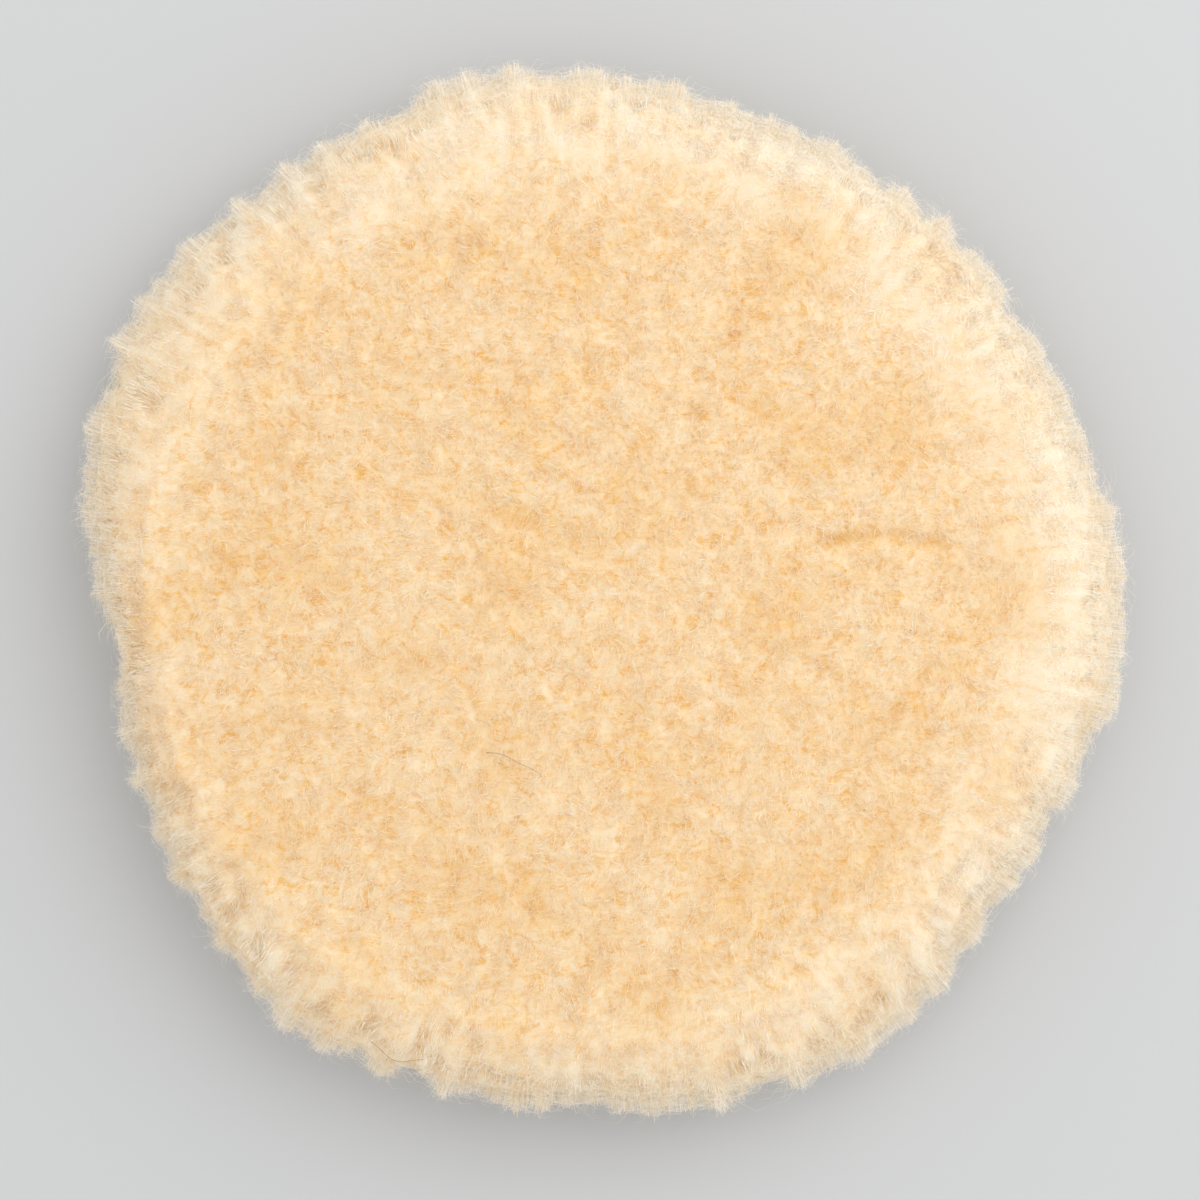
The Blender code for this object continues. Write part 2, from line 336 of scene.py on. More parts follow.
ground_section = [(r, GROUND_BACK) for r in np.linspace(AXIS_GAP, 0.0695, 16)]
ground_section += [(CLOTH_RADIUS - 0.0001, GROUND_BACK - 0.00005),
                   (CLOTH_RADIUS + 0.00005, GROUND_BACK - 0.0003),
                   (CLOTH_RADIUS - 0.0001, GROUND_FACE + 0.00005)]
ground_section += [(r, GROUND_FACE) for r in np.linspace(0.0695, AXIS_GAP, 16)]
rings = disc_rings(ground_section, 720, 0.00016, 33)
frayed = np.hypot(rings[..., 0], rings[..., 1]) > FRAYED_FROM
fray = 0.00009 * ripple(rings[..., 0], rings[..., 1], 0.0009, 34) * frayed
rings[..., :2] *= (1 + fray / CLOTH_RADIUS)[..., None]
ground = new_mesh("knitted_ground", *capped(rings))
ground.data.materials.append(knit_material())
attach(ground, "root")
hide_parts("loop_cloth_ground")


# ---------------------------------------------------------------- bonding film
# The thermoplastic film that glues the cloth to the flesh side of the skin. It ends inside the
# seam and isn't seen from outside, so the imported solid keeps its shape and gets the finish.

FILM_COLOURS = [(0.3, (0.72, 0.67, 0.52)), (0.5, (0.80, 0.76, 0.62)), (0.7, (0.86, 0.83, 0.71))]
film = mottled_material("bonding_film", FILM_COLOURS, 260, 4, 1500, 0.0001, 0.42)
for slot in nodes["bonding_film"].material_slots:
    slot.material = film


# ---------------------------------------------------------------- sheepskin hide
# The tanned skin that the wool grows from, a little under 2 mm thick. It was cut out by hand,
# so its edge wanders, and its flesh side is buffed to a short brown suede.

hide_low, hide_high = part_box("sheepskin_hide")
HIDE_FLESH = hide_low.z
HIDE_GRAIN = hide_high.z
TRIMMED_FROM = 0.0690
SUEDE_COLOURS = [(0.30, (0.50, 0.335, 0.165)), (0.50, (0.62, 0.44, 0.24)), (0.72, (0.72, 0.545, 0.33))]


def outline(node, height):
    """Angle and radius of a CAD node's outermost corners at one height, in order of the angle."""
    mesh = nodes[node].data
    points = np.empty(len(mesh.vertices) * 3, np.float32)
    mesh.vertices.foreach_get("co", points)
    points = points.reshape(-1, 3).astype(float)
    radius = np.hypot(points[:, 0], points[:, 1])
    row = (np.abs(points[:, 2] - height) < 1e-4) & (radius > CLOTH_RADIUS)
    angle = np.arctan2(points[row, 1], points[row, 0])
    order = np.argsort(angle)
    return angle[order], radius[row][order]


hide_angle, hide_radius = outline("sheepskin_hide", HIDE_FLESH)
HIDE_RADIUS = float(hide_radius.mean())


def hide_rings():
    """Rings of the skin: flat on the wool side, cut a little undercut at the edge, and gently
    uneven on the flesh side. The outer rings are drawn out to the cut outline, with a fine
    wander of the knife."""
    edge = [(HIDE_RADIUS - 0.0003, HIDE_GRAIN), (HIDE_RADIUS, HIDE_GRAIN - 0.0003),
            (HIDE_RADIUS - 0.0001, HIDE_FLESH + 0.0009), (HIDE_RADIUS - 0.0003, HIDE_FLESH + 0.0002),
            (HIDE_RADIUS - 0.0006, HIDE_FLESH)]
    section = ([(r, HIDE_GRAIN) for r in np.linspace(AXIS_GAP, 0.0745, 12)] + edge
               + [(r, HIDE_FLESH) for r in np.linspace(0.0750, AXIS_GAP, 70)])
    rings = disc_rings(section, 480, 0.00022, 35)
    x, y = rings[..., 0], rings[..., 1]
    radius, angle = np.hypot(x, y), np.arctan2(y, x)
    share = np.clip((radius - TRIMMED_FROM) / (HIDE_RADIUS - TRIMMED_FROM), 0, 1)
    reach = share * (np.interp(angle, hide_angle, hide_radius, period=2 * math.pi) - HIDE_RADIUS)
    rings[..., :2] *= (1 + reach / radius)[..., None]
    flesh = rings[..., 2] < HIDE_FLESH + 0.0001
    rings[..., 2] += flesh * 0.00005 * (ripple(x, y, 0.012, 36) + ripple(x, y, 0.003, 37))
    return rings


hide = new_mesh("sheepskin", *capped(hide_rings()))
hide.data.materials.append(mottled_material("suede", SUEDE_COLOURS, 160, 7, 3800, 0.0003, 0.92))
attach(hide, "root")
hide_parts("sheepskin_hide")


# ---------------------------------------------------------------- edge seam
# A lockstitch round the edge in bonded nylon thread of three plies, sixty stitches to the turn.
# The needle thread runs along the loop face and up through cloth and skin at each stitch, over
# the bobbin thread, which lies on the skin at the foot of the wool.

SEAM_RADIUS = 0.0668
STITCHES = 60
LEG_OFFSET = 0.0009
RUN_HEIGHT = 0.0004
HOOK_HEIGHT = HIDE_GRAIN + 0.0015
BOBBIN_HEIGHT = HIDE_GRAIN + 0.0006
THREAD_RADIUS = 0.0003
PLIES = 3
PLY_PITCH = 0.0016
PLY_CORNERS = 9
NEEDLE_COLOURS = [(0.0, (0.66, 0.62, 0.54)), (0.5, (0.86, 0.83, 0.76)), (1.0, (0.93, 0.91, 0.86))]
BOBBIN_COLOURS = [(0.0, (0.63, 0.58, 0.47)), (0.5, (0.84, 0.80, 0.70)), (1.0, (0.91, 0.89, 0.81))]


def rounded(points, passes):
    """A closed line with its corners cut off again and again, at a quarter from each end."""
    for _ in range(passes):
        after = np.roll(points, -1, 0)
        points = np.stack([points * 0.75 + after * 0.25, points * 0.25 + after * 0.75], 1).reshape(-1, 3)
    return points


def even_steps(points, step):
    """A closed line's points again, a fixed step apart along it."""
    loop = np.concatenate([points, points[:1]])
    reach = np.concatenate([[0], np.cumsum(np.linalg.norm(np.diff(loop, axis=0), axis=1))])
    count = int(reach[-1] / step)
    at = np.arange(count) / count * reach[-1]
    return np.stack([np.interp(at, reach, loop[:, k]) for k in range(3)], 1), reach[-1]


def twisted_thread(name, points, step, stops):
    """A closed thread along a line: its section is a circle that swells at each ply, and turns
    once in a ply pitch. The map has the ply's crown and valley across it, and the valleys take
    a darker colour: painted shade."""
    path, length = even_steps(points, step)
    along = np.roll(path, -1, 0) - np.roll(path, 1, 0)
    along /= np.linalg.norm(along, axis=1, keepdims=True)
    angle = np.arctan2(path[:, 1], path[:, 0])
    out = np.stack([np.cos(angle), np.sin(angle), np.zeros(len(angle))], 1)
    round_it = np.stack([-np.sin(angle), np.cos(angle), np.zeros(len(angle))], 1)
    side = np.cross(along, 0.8 * out - 0.5 * round_it + [0, 0, 0.6])
    side /= np.linalg.norm(side, axis=1, keepdims=True)
    other = np.cross(along, side)
    corner = np.arange(PLY_CORNERS) / PLY_CORNERS * 2 * math.pi
    turns = round(length / PLY_PITCH / PLIES) * PLIES
    twist = np.arange(len(path)) / len(path) * 2 * math.pi * turns / PLIES
    swell = 0.5 + 0.5 * np.cos(PLIES * (corner[None] - twist[:, None]))
    radius = THREAD_RADIUS * (0.74 + 0.26 * swell)[..., None]
    rings = path[:, None] + radius * (side[:, None] * np.cos(corner)[None, :, None]
                                      + other[:, None] * np.sin(corner)[None, :, None])
    row, column = np.meshgrid(np.arange(len(path)), np.arange(PLY_CORNERS), indexing="ij")
    next_row, next_column = (row + 1) % len(path), (column + 1) % PLY_CORNERS
    quads = np.stack([row * PLY_CORNERS + column, row * PLY_CORNERS + next_column,
                      next_row * PLY_CORNERS + next_column, next_row * PLY_CORNERS + column], -1)
    # Darker in the valleys between the plies: painted shade.
    shade = 0.15 + 0.7 * swell + draw.normal(0, 0.03, swell.shape)
    uv = np.stack([np.clip(shade, 0.01, 0.99), np.full(shade.shape, 0.97)], -1).reshape(-1, 2)
    piece = new_mesh(name, rings.reshape(-1, 3), quads.reshape(-1, 4), uv)
    piece.data.materials.append(fibre_material(name, stops, stops))
    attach(piece, "root")
    return piece


def around(radius, angle, height):
    """Points at one radius and height, and many angles."""
    return np.stack([radius * np.cos(angle), radius * np.sin(angle), np.full(len(angle), height)], 1)


stitch_angle = np.arange(STITCHES) / STITCHES * 2 * math.pi
inner, outer = SEAM_RADIUS - LEG_OFFSET, SEAM_RADIUS + LEG_OFFSET
route = np.stack([around(inner, stitch_angle, RUN_HEIGHT), around(inner, stitch_angle, HOOK_HEIGHT),
                  around(outer, stitch_angle, HOOK_HEIGHT), around(outer, stitch_angle, RUN_HEIGHT)], 1)
needle = twisted_thread("seam_needle", rounded(route.reshape(-1, 3), 3), 0.00022, NEEDLE_COLOURS)
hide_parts("seam_needle_thread")

bobbin_angle = np.arange(720) / 720 * 2 * math.pi
pull = 0.00012 * np.cos(bobbin_angle * STITCHES)
bobbin_route = around(SEAM_RADIUS, bobbin_angle, BOBBIN_HEIGHT)
bobbin_route[:, 2] += pull
bobbin = twisted_thread("seam_bobbin", bobbin_route, 0.00030, BOBBIN_COLOURS)
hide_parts("seam_bobbin_thread")


# ---------------------------------------------------------------- wool: the body of the fleece
# The standing fleece is one springy mass whose fibres fan out over the edge of the skin. Its
# inside is a closed form a little under the sheared face, golden in the depths and paler at
# the rim, with the partings where the wool has been pressed aside. The paler rim is painted
# light, and the partings are darkened partly by painted shade.

wool_low, wool_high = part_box("wool_pile")
WOOL_BASE = wool_low.z
WOOL_TOP = wool_high.z
CROWN_DROP = 0.0016
SHOULDER = 0.0150
BELLY_RISE = 0.0070
SPLAY = 0.0065
STILL_RADIUS = 0.0685
CORE_DEPTH = 0.0007
RIM_DEPTH = 0.0019
CORE_ROWS = 150
CORE_COLUMNS = 500
CORE_GAP = 0.0008
SECTION_STEPS = 240
FAN_FROM = 0.86
FAN_ANGLE = 118
LOCK_SIZE = 0.0042
LOCK_SEED = 5
FOOT_HEIGHT = HIDE_GRAIN + 0.0001
CHANNEL_DEPTH = 0.0025
TUFT_SIZE = 0.018
TUFT_REACH = 0.0011
CURL_SIZE = 0.0045
CURL_REACH = 0.0005
COMBED_WIDTH = 0.0030
# These three place the rim's paler colour, which is painted light: where it starts, how much further in it
# starts towards the key light, and how wide it is.
PALE_FROM = 0.0610
PAINTED_LIGHT_LEAN = 0.0060
PALE_WIDTH = 0.021
PARTINGS = [((0.0345, 0.0078), (0.0440, 0.0092), 0.0013, 0.0010),
            ((0.0440, 0.0092), (0.0560, 0.0074), 0.0012, 0.0007),
            ((-0.0180, 0.0150), (0.0010, 0.0050), 0.0030, 0.0005),
            ((0.0235, 0.0300), (0.0290, 0.0280), 0.0024, 0.0006),
            ((-0.0470, 0.0040), (-0.0360, 0.0010), 0.0022, 0.0004),
            ((-0.0020, 0.0380), (0.0000, 0.0300), 0.0018, 0.0005),
            ((-0.0120, -0.0400), (-0.0090, -0.0520), 0.0020, 0.0004)]
DEEP_COLOURS = [(0.34, (0.79, 0.47, 0.14)), (0.45, (0.835, 0.60, 0.325)), (0.64, (0.86, 0.72, 0.51))]
# The colour that the rim is paled towards: painted light.
PAINTED_RIM_LIGHT_COLOUR = (0.875, 0.77, 0.60)
# A parting's colour: partly the wool's golden depths, partly painted shade in the crease.
PARTING_COLOUR = (0.81, 0.52, 0.17)
STRAND_COLOUR = (0.93, 0.77, 0.53)

outline_angle, outline_radius = outline("wool_pile", WOOL_BASE + BELLY_RISE)
WOOL_RADIUS = float(outline_radius.mean())


def edge_radius(angle):
    """Radius of the pile's widest row in each direction, from the CAD pile's own corners."""
    return np.interp(angle, outline_angle, outline_radius, period=2 * math.pi)


def section_line():
    """Half of the pile's section as points from the crown to the foot: a shallow parabola, a
    quarter ellipse down to the belly, and a quarter ellipse in to the foot at the skin's edge."""
    inner, belly = WOOL_RADIUS - SHOULDER, WOOL_BASE + BELLY_RISE
    rim_top = WOOL_TOP - CROWN_DROP
    crown_r = np.linspace(0, inner, SECTION_STEPS)
    crown = np.stack([crown_r, WOOL_TOP - CROWN_DROP * (crown_r / inner) ** 2], 1)
    turn = np.linspace(0, math.pi / 2, SECTION_STEPS)[1:]
    shoulder = np.stack([inner + SHOULDER * np.sin(turn), belly + (rim_top - belly) * np.cos(turn)], 1)
    under = np.stack([WOOL_RADIUS - SPLAY * (1 - np.cos(turn)), belly - BELLY_RISE * np.sin(turn)], 1)
    return np.concatenate([crown, shoulder, under])


line = section_line()
line_arc = np.concatenate([[0], np.cumsum(np.hypot(*np.diff(line, axis=0).T))])
line_area = np.concatenate([[0], np.cumsum(np.diff(line_arc) * (line[1:, 0] + line[:-1, 0]) / 2)])
ARC_LENGTH = line_arc[-1]
CROWN_ARC = float(line_arc[SECTION_STEPS - 1])


def fleece(arc, angle):
    """Point of the sheared face at a length of arc from the crown, and an angle round the axis.
    Past the seam the section is drawn out to the hand-cut outline."""
    r = np.interp(arc, line_arc, line[:, 0])
    z = np.interp(arc, line_arc, line[:, 1])
    share = np.clip((r - STILL_RADIUS) / (WOOL_RADIUS - STILL_RADIUS), 0, 1)
    r = r + share * (edge_radius(angle) - WOOL_RADIUS)
    return np.stack([r * np.cos(angle), r * np.sin(angle), z], -1)


def growth(arc, angle):
    """Direction in which the wool stands: upright on the crown, fanning out over the edge until
    it points well below level at the foot."""
    start = CROWN_ARC * FAN_FROM
    share = np.clip((arc - start) / (ARC_LENGTH - start), 0, 1)
    lift = np.radians(90 - FAN_ANGLE * share**0.95)
    out = np.cos(lift)
    return np.stack([out * np.cos(angle), out * np.sin(angle), np.sin(lift)], -1)


def rim_share(arc):
    """From 0 on the crown to 1 at the foot."""
    return np.clip((arc - CROWN_ARC) / (ARC_LENGTH - CROWN_ARC), 0, 1)


def eased(share):
    """From 0 to 1 with a soft start and a soft end."""
    share = np.clip(share, 0, 1)
    return share**2 * (3 - 2 * share)


def body_depth(arc):
    """How far the fleece's body lies under the sheared face: least on the crown and at the foot,
    and more between them, where the rim's fibres stand free of one another."""
    rim = rim_share(arc)
    return CORE_DEPTH + RIM_DEPTH * eased((rim - 0.22) / 0.40) * eased((1 - rim) / 0.20)


def waves(arc, angle, size, seed, count=26):
    """The smooth noise of ripple, on the fleece unrolled flat from its crown."""
    return ripple(arc * np.cos(angle), arc * np.sin(angle), size, seed, count)


def tufts(angle):
    """How far the tufts of the rim carry the outline out or in: rounded tufts with narrower
    notches between them."""
    edge = np.full(angle.shape, WOOL_RADIUS)
    wide = 1 - 2 * np.abs(waves(edge, angle, TUFT_SIZE, 6, 12))
    return TUFT_REACH * wide + CURL_REACH * waves(edge, angle, CURL_SIZE, 9)


def combed(arc, angle):
    """Smooth noise drawn out down the rim, where the wool is combed outwards."""
    reach = WOOL_RADIUS + (arc - CROWN_ARC) / 4
    return ripple(reach * np.cos(angle), reach * np.sin(angle), COMBED_WIDTH, 21)


def clouds(arc, angle):
    """Broad noise: above nought the wool is paler there, and below it more golden."""
    return 1.1 * waves(arc, angle, 0.024, 8) + 0.4 * waves(arc, angle, 0.0085, 14)


def painted_rim_light(arc, angle):
    """Painted light of the rim: from 0 on the crown to 1 at the fringe, a paler colour that stands
    in for light through the rim's thin fibres. It starts further in on the side towards the key
    light, which is painted light too, and wanders.
    """
    start = PALE_FROM - PAINTED_LIGHT_LEAN * np.cos(angle - 0.7) + 0.0025 * waves(arc, angle, 0.015, 15)
    return np.clip((arc - start + 0.0022 * combed(arc, angle)) / PALE_WIDTH, 0, 1)


def parting(arc, angle):
    """Depth of the partings: a bell-shaped trough along each short line on the crown, given by
    its two ends, its width and its depth."""
    x, y = arc * np.cos(angle), arc * np.sin(angle)
    total = np.zeros(np.broadcast(arc, angle).shape)
    for (ax, ay), (bx, by), width, depth in PARTINGS:
        reach = (bx - ax) ** 2 + (by - ay) ** 2
        along = np.clip(((x - ax) * (bx - ax) + (y - ay) * (by - ay)) / reach, 0, 1)
        away = np.hypot(x - ax - along * (bx - ax), y - ay - along * (by - ay))
        total += depth * np.exp(-(away / width) ** 2) * (0.4 + 0.6 * np.sin(along * math.pi))
    return total


def core_rings():
    """Rings of the fleece's body, and two marks for each corner. The sheared face is sunk along
    the growth, with small swellings under the locks, and then a flat foot runs in to the axis
    with a channel over the seam. Gold marks the depths that show, and in a parting it is partly
    painted shade; pale marks the way to the rim, which is painted light."""
    angle = np.arange(CORE_COLUMNS) / CORE_COLUMNS * 2 * math.pi
    arc = np.linspace(CORE_GAP, ARC_LENGTH, CORE_ROWS)[:, None] + np.zeros(CORE_COLUMNS)
    turn = angle + np.zeros((CORE_ROWS, 1))
    swell = 0.00012 * waves(arc, turn, LOCK_SIZE, LOCK_SEED) + 0.00014 * waves(arc, turn, 0.0090, 12)
    near = np.clip(rim_share(arc) * 3, 0, 1) * eased((1 - rim_share(arc)) / 0.20)
    swell = swell + near * (0.35 * tufts(turn) + 0.00027 * combed(arc, turn))
    depth = body_depth(arc) + parting(arc, turn)
    face = fleece(arc, turn) - growth(arc, turn) * (depth - swell)[..., None]
    face[..., 2] = np.maximum(face[..., 2], FOOT_HEIGHT + 0.0002)
    inner, outer = SEAM_CHANNEL
    over_seam = FOOT_HEIGHT + CHANNEL_DEPTH
    foot = [(0.0712, FOOT_HEIGHT), (outer, FOOT_HEIGHT), (outer - 0.0001, over_seam),
            (inner + 0.0001, over_seam), (inner, FOOT_HEIGHT), (0.05, FOOT_HEIGHT), (0.025, FOOT_HEIGHT),
            (CORE_GAP, FOOT_HEIGHT)]
    rest = len(foot) * CORE_COLUMNS + 2
    broken = 0.6 + 0.4 * waves(arc, turn, 0.0028, 17)
    # In a parting the gold is partly the wool's golden depths and partly painted shade in the crease.
    gold = np.clip(parting(arc, turn) / 0.0010 * broken + 0.20 * np.clip(-clouds(arc, turn), 0, 1), 0, 1)
    # Pale marks the way to the rim: painted light.
    pale = painted_rim_light(arc, turn) * (0.78 + 0.25 * combed(arc, turn))
    marks = {"gold": np.append(gold, np.zeros(rest)), "pale": np.append(pale, np.ones(rest))}
    return np.concatenate([face, disc_rings(foot, CORE_COLUMNS)]), marks


def depths_material():
    """The wool's depths: cream with golden mottles, paler towards the rim, golden in a parting, and
    fuzzed with fine short hair. The paler rim is painted light, and a parting's gold is partly
    painted shade."""
    material = mottled_material("wool_depths", DEEP_COLOURS, 520, 6, 2600, 0.0001, 0.95)
    tree, link = nodes_of(material)
    shader, where, tint = tree["Principled BSDF"], tree["Texture Coordinate"], tree["tint"]
    # The pale mark mixes in the rim's painted light.
    pale = tree.new("ShaderNodeAttribute")
    pale.attribute_name = "pale"
    paler = tree.new("ShaderNodeMix")
    paler.data_type = "RGBA"
    paler.inputs["B"].default_value = (*PAINTED_RIM_LIGHT_COLOUR, 1)
    # The gold mark mixes in the parting colour, which is partly painted shade.
    gold = tree.new("ShaderNodeAttribute")
    gold.attribute_name = "gold"
    golden = tree.new("ShaderNodeMix")
    golden.data_type = "RGBA"
    golden.inputs["B"].default_value = (*PARTING_COLOUR, 1)
    streaked = tint.outputs["Color"]
    for turn in (0.3, 1.4, 2.4):
        lay = tree.new("ShaderNodeMapping")
        lay.inputs["Rotation"].default_value = (0, 0, turn)
        lay.inputs["Scale"].default_value = (420, 3000, 900)
        hairs = tree.new("ShaderNodeTexNoise")
        hairs.inputs["Scale"].default_value = 1.0
        hairs.inputs["Detail"].default_value = 2
        hairs.inputs["Distortion"].default_value = 1.6
        strand = tree.new("ShaderNodeMapRange")
        strand.inputs["From Min"].default_value = 0.54
        strand.inputs["From Max"].default_value = 0.70
        strand.inputs["To Max"].default_value = 0.35
        over = tree.new("ShaderNodeMix")
        over.data_type = "RGBA"
        over.inputs["B"].default_value = (*STRAND_COLOUR, 1)
        link.new(where.outputs["Object"], lay.inputs["Vector"])
        link.new(lay.outputs[0], hairs.inputs["Vector"])
        link.new(hairs.outputs["Fac"], strand.inputs["Value"])
        link.new(strand.outputs[0], over.inputs["Factor"])
        link.new(streaked, over.inputs["A"])
        streaked = over.outputs["Result"]
    link.new(pale.outputs["Fac"], paler.inputs["Factor"])
    link.new(streaked, paler.inputs["A"])
    link.new(gold.outputs["Fac"], golden.inputs["Factor"])
    link.new(paler.outputs["Result"], golden.inputs["A"])
    link.new(golden.outputs["Result"], shader.inputs["Base Color"])
    shader.inputs["Subsurface Weight"].default_value = 0.4
    shader.inputs["Subsurface Radius"].default_value = (0.003, 0.002, 0.001)
    shader.inputs["Subsurface Scale"].default_value = 1.0
    return material


rings, marks = core_rings()
core = new_mesh("fleece_body", *capped(rings))
for mark, values in marks.items():
    core.data.attributes.new(mark, "FLOAT", "POINT").data.foreach_set("value", values)
core.data.materials.append(depths_material())
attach(core, "root")
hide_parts("wool_pile")


# ---------------------------------------------------------------- wool: the face and the rim
# Fibres in their tens of thousands, sheared level. On the crown they lean over and mat
# together. At the rim they stand out, finer and paler, and end in a thin curly fringe; their
# paler colour there is painted light.

CROWN_FIBRES = 78000
RIM_FIBRES = 44000
LACE_FIBRES = 9000
CROWN_RADIUS = 0.000055
RIM_RADIUS = 0.000046
LACE_RADIUS = 0.000024
LACE_ROOT = 0.0035
HAIR_RADIUS = 0.00004
TRIANGLES_PER_PIECE = 190000
UPWARD = np.array([0.0, 0.0, 1.0])
HAIR_COLOURS = [(0.0, (0.20, 0.13, 0.08)), (1.0, (0.30, 0.21, 0.13))]
TIP_COLOURS = [(0.0, (0.86, 0.60, 0.29)), (0.45, (0.895, 0.75, 0.545)), (1.0, (0.945, 0.90, 0.81))]
ROOT_COLOURS = [(0.0, (0.86, 0.57, 0.27)), (0.6, (0.88, 0.70, 0.46)), (1.0, (0.93, 0.86, 0.73))]
SHADE_LIMITS = (0.01, 0.99)
BURIED = 0.0005
FLOOR_GAP = 0.0008
UPRIGHT_SHARE = 0.4
UPRIGHT_RISE = 0.0004
TURNED_SHARE = 0.3
PALER_SHARE = 0.2


def lying_axes(arc, angle):
    """The growth direction at each place, and the two directions in the face across it: down
    the section and round the axis."""
    stand = growth(arc, angle)
    round_it = np.stack([-np.sin(angle), np.cos(angle), np.zeros(len(arc))], 1)
    return stand, np.cross(round_it, stand), round_it


def to_locks(arc, angle):
    """How far each place is up the side of its lock, and the way up that side."""
    step = 0.0002
    round_step = step / np.maximum(arc, 0.002)
    here = waves(arc, angle, LOCK_SIZE, LOCK_SEED)
    slope_down = (waves(arc + step, angle, LOCK_SIZE, LOCK_SEED) - here) / step
    slope_round = (waves(arc, angle + round_step, LOCK_SIZE, LOCK_SEED) - here) / step
    return here, slope_down * LOCK_SIZE / 6, slope_round * LOCK_SIZE / 6


def crown_fibres():
    """Fibres of the crown and shoulder, evenly spread in area. Each starts under the body's
    skin and lies over by a broad noise of heading, and up the side of its lock, to end at the
    sheared face. Some stand upright instead, some are turned about, and some are paler."""
    n = CROWN_FIBRES
    last = np.interp(CROWN_ARC + 0.35 * (ARC_LENGTH - CROWN_ARC), line_arc, line_area)
    arc = np.interp((np.arange(n) + draw.uniform(0, 1, n)) / n * last, line_area, line_arc)
    angle = (np.arange(n) * GOLDEN_ANGLE + draw.normal(0, 0.01, n)) % (2 * math.pi)
    stand, down, round_it = lying_axes(arc, angle)
    outer = np.clip((arc - 0.054) / 0.022, 0, 1)
    heading = (1 - 0.5 * outer) * (1.5 * waves(arc, angle, 0.020, 3) + draw.normal(0, 0.75, n))
    heading = heading + math.pi * (draw.uniform(0, 1, n) < TURNED_SHARE * (1 - outer))
    up_lock, lock_down, lock_round = to_locks(arc, angle)
    upright = draw.uniform(0, 1, n) < UPRIGHT_SHARE
    short, long = draw.uniform(0.0003, 0.0009, n), draw.uniform(0.0012, 0.0032, n) + 0.0006 * outer
    lying = np.where(upright, short, long)
    aim_down = np.cos(heading) * lying + 0.0006 * lock_down
    aim_round = np.sin(heading) * lying + 0.0006 * lock_round
    aim = down * aim_down[:, None] + round_it * aim_round[:, None]
    sink = parting(arc, angle)
    height = 0.00010 * up_lock + draw.normal(-0.0001, 0.00017, n) - sink + UPRIGHT_RISE * upright
    face = fleece(arc, angle)
    root = face - stand * (CORE_DEPTH + BURIED + sink)[:, None]
    bow = np.cross(aim, stand) * draw.normal(0, 0.10, n)[:, None]
    waist = face + stand * (height - 0.00030 - UPRIGHT_RISE * upright)[:, None] + aim * 0.40 + bow
    tip = face + stand * height[:, None] + aim
    shades = 0.37 + 0.25 * upright + 0.09 * up_lock + 0.08 * waves(arc, angle, 0.0024, 16)
    # Paler towards the rim, which is painted light, and darker where the fibres sink into a parting, which
    # is painted shade.
    shades += 0.13 * clouds(arc, angle) + 0.44 * painted_rim_light(arc, angle) - 0.28 * np.clip(sink / 0.0006, 0, 1)
    shades += 0.24 * (draw.uniform(0, 1, n) < PALER_SHARE) + draw.normal(0, 0.12, n)
    return np.stack([root, waist, tip], 1), np.clip(shades, *SHADE_LIMITS), stand


def rim_fibres():
    """Longer fibres from the shoulder to the foot, which stand out from the skin, bend over at
    a knee and curl back. Tufts of them scallop the outline."""
    n = RIM_FIBRES
    first = np.interp(CROWN_ARC + 0.10 * (ARC_LENGTH - CROWN_ARC), line_arc, line_area)
    share = (np.arange(n) + draw.uniform(0, 1, n)) / n
    arc = np.interp(first + share**1.15 * (line_area[-1] - first), line_area, line_arc)
    angle = (np.arange(n) * GOLDEN_ANGLE + draw.normal(0, 0.01, n)) % (2 * math.pi)
    stand, down, round_it = lying_axes(arc, angle)
    rim = rim_share(arc)
    reach = tufts(angle) - 0.0006 + 0.00015 * combed(arc, angle) + draw.normal(0, 0.00030, n)
    height = np.clip(rim * 2.5, 0, 1) * reach
    heading = draw.uniform(0, 2 * math.pi, n)
    aim = down * np.cos(heading)[:, None] + round_it * np.sin(heading)[:, None]
    lying = draw.uniform(0.0010, 0.0026, n)
    face = fleece(arc, angle)
    root = face - stand * (body_depth(arc) + BURIED)[:, None]
    knee = face + stand * (height - 0.0002)[:, None] + aim * (0.15 * lying)[:, None]
    tip = face + stand * (height - 0.25 * lying)[:, None] + aim * (1.3 * lying)[:, None]
    paths = np.stack([root, knee, tip], 1)
    # Paler towards the rim: painted light.
    shades = 0.54 + 0.40 * painted_rim_light(arc, angle) + 0.11 * combed(arc, angle) + draw.normal(0, 0.12, n)
    return paths, np.clip(shades, *SHADE_LIMITS), stand + UPWARD


def lace_fibres():
    """The thin fringe outside the mat: fine hairs that leave the rim, curl back along it in
    either direction, and cross one another."""
    n = LACE_FIBRES
    ends = [CROWN_ARC + 0.2 * (ARC_LENGTH - CROWN_ARC), ARC_LENGTH * 0.99]
    first, last = np.interp(ends, line_arc, line_area)
    arc = np.interp(draw.uniform(first, last, n), line_area, line_arc)
    angle = draw.uniform(0, 2 * math.pi, n)
    stand, down, round_it = lying_axes(arc, angle)
    reach = tufts(angle) + draw.uniform(-0.0016, 0.0008, n)
    aim = round_it * draw.normal(0, 1.2, n)[:, None] + down * draw.normal(0, 0.7, n)[:, None]
    root = fleece(arc, angle) - stand * LACE_ROOT
    out = root + stand * (0.55 * (reach + LACE_ROOT))[:, None] + aim * 0.0006
    top = root + stand * (reach + LACE_ROOT)[:, None] + aim * 0.0016
    tip = top + aim * 0.0012 - stand * draw.uniform(0.0, 0.0012, n)[:, None]
    # The fringe's near-white shade is the rim's painted light at its fullest.
    shades = 0.96 + draw.normal(0, 0.03, n)
    return np.stack([root, out, top, tip], 1), np.clip(shades, *SHADE_LIMITS), stand + UPWARD


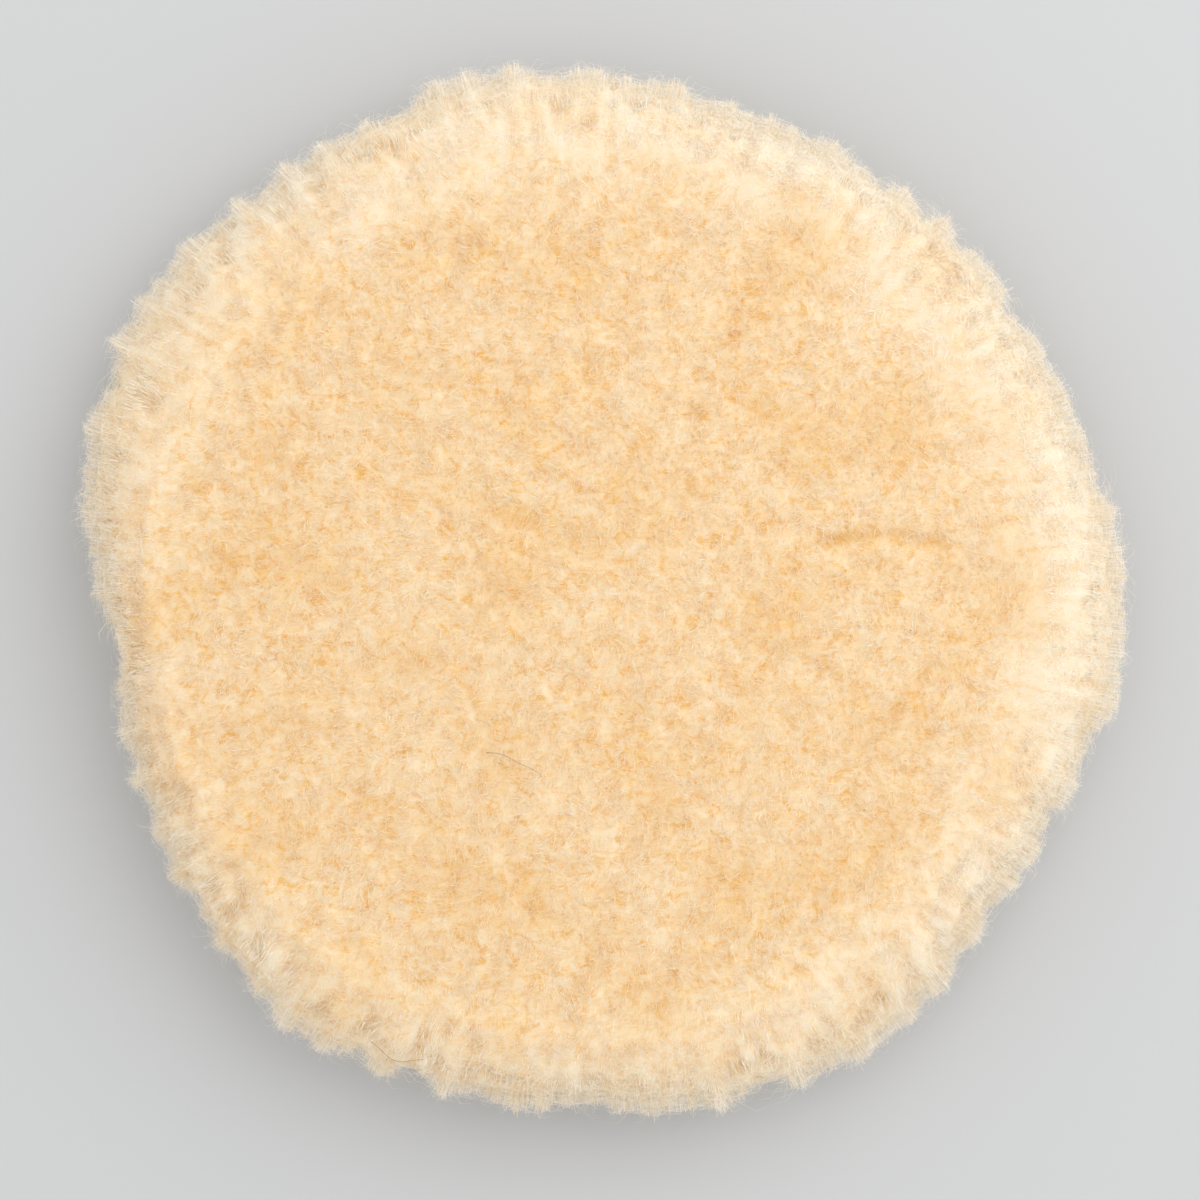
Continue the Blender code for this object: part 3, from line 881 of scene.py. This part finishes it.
def stray_hairs():
    """Two coarse dark hairs that lie on the face: each an arc between two points, bowed to one
    side and lightly waved."""
    ends = np.array([(-0.0168, -0.0246, -0.0078, -0.0288, 0.0009),
                     (-0.0345, -0.0690, -0.0262, -0.0722, -0.0010)])
    t = np.linspace(0, 1, 14)
    start, end, bow = ends[:, None, :2], ends[:, None, 2:4], ends[:, 4:]
    run = end - start
    across = np.stack([-run[..., 1], run[..., 0]], -1) / np.linalg.norm(run, axis=2, keepdims=True)
    sway = bow * np.sin(math.pi * t) + 0.0002 * np.sin(9 * t)
    flat = start + run * t[:, None] + across * sway[..., None]
    rising = slice(0, 2 * SECTION_STEPS - 1)
    arc = np.interp(np.hypot(flat[..., 0], flat[..., 1]), line[rising, 0], line_arc[rising])
    angle = np.arctan2(flat[..., 1], flat[..., 0])
    lift = 0.00045 * np.sin(math.pi * t) - 0.0001
    return fleece(arc, angle) + growth(arc, angle) * lift[:, None]


wool = fibre_material("wool", TIP_COLOURS, ROOT_COLOURS)
coats = [("wool_face", crown_fibres(), CROWN_RADIUS), ("wool_rim", rim_fibres(), RIM_RADIUS),
         ("wool_lace", lace_fibres(), LACE_RADIUS)]
for name, (paths, shades, outward), radius in coats:
    paths[..., 2] = np.maximum(paths[..., 2], FLOOR_GAP)
    triangles_each = 6 * paths.shape[1] - 8
    batch = TRIANGLES_PER_PIECE // triangles_each
    for number, start in enumerate(range(0, len(paths), batch), 1):
        some = slice(start, start + batch)
        thick = radius * draw.uniform(0.75, 1.25, len(paths[some]))
        form = fibres(paths[some], thick, shades[some], outward[some])
        piece = new_mesh(f"{name}_{number:02d}", *form, smooth=False)
        piece.data.materials.append(wool)
        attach(piece, "root")

paths = stray_hairs()
upward = np.tile(UPWARD, (len(paths), 1))
thick, shades = np.full(len(paths), HAIR_RADIUS), np.full(len(paths), 0.5)
hairs = new_mesh("wool_stray_hairs", *fibres(paths, thick, shades, upward))
hairs.data.materials.append(fibre_material("stray_hair", HAIR_COLOURS, HAIR_COLOURS))
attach(hairs, "root")


# ---------------------------------------------------------------- floor, light and camera
# The pad lies on a plain pale floor under soft studio light, a little stronger from the upper
# right, and is seen from straight above.

PICTURE_WIDTH = 0.1901
LENS = 100.0
SENSOR = 36.0
PAD_MIDDLE = 0.012
AIM = (0.0008, -0.0010)
KEY_PLACE = (0.50, 0.45, 0.62)
KEY_SIZE = 0.90
KEY_POWER = 3.5
SKY_STRENGTH = 0.99
FLOOR_REACH = 3.0
FLOOR_COLOUR = (0.56, 0.565, 0.57)


def soft_box(name, place, size, power):
    """A square soft box that faces the pad."""
    light = bpy.data.lights.new(name, "AREA")
    light.shape = "SQUARE"
    light.size = size
    light.energy = power
    obj = bpy.data.objects.new(name, light)
    obj.location = place
    obj.rotation_euler = (-Vector(place)).to_track_quat("-Z", "Y").to_euler()
    bpy.context.scene.collection.objects.link(obj)


floor_mesh = bpy.data.meshes.new("floor")
floor_corners = np.array([(-1, -1, 0), (1, -1, 0), (1, 1, 0), (-1, 1, 0)]) * FLOOR_REACH
floor_mesh.from_pydata(floor_corners.tolist(), [], [(0, 1, 2, 3)])
floor = bpy.data.objects.new("floor", floor_mesh)
bpy.context.scene.collection.objects.link(floor)
floor_material = bpy.data.materials.new("floor")
floor_material.use_nodes = True
tree, link = nodes_of(floor_material)
tree["Principled BSDF"].inputs["Roughness"].default_value = 0.9
tree["Principled BSDF"].inputs["Base Color"].default_value = (*FLOOR_COLOUR, 1)
floor_mesh.materials.append(floor_material)

soft_box("key", KEY_PLACE, KEY_SIZE, KEY_POWER)

world = bpy.data.worlds.new("studio")
world.use_nodes = True
world.node_tree.nodes["Background"].inputs[0].default_value = (1, 1, 1, 1)
world.node_tree.nodes["Background"].inputs[1].default_value = SKY_STRENGTH
bpy.context.scene.world = world
bpy.context.scene.view_settings.view_transform = "Standard"

camera = bpy.data.objects.new("camera", bpy.data.cameras.new("camera"))
camera.data.lens = LENS
camera.data.sensor_width = SENSOR
camera.data.clip_start = 0.01
camera.location = (*AIM, PAD_MIDDLE + PICTURE_WIDTH * LENS / SENSOR)
bpy.context.scene.collection.objects.link(camera)
bpy.context.scene.camera = camera
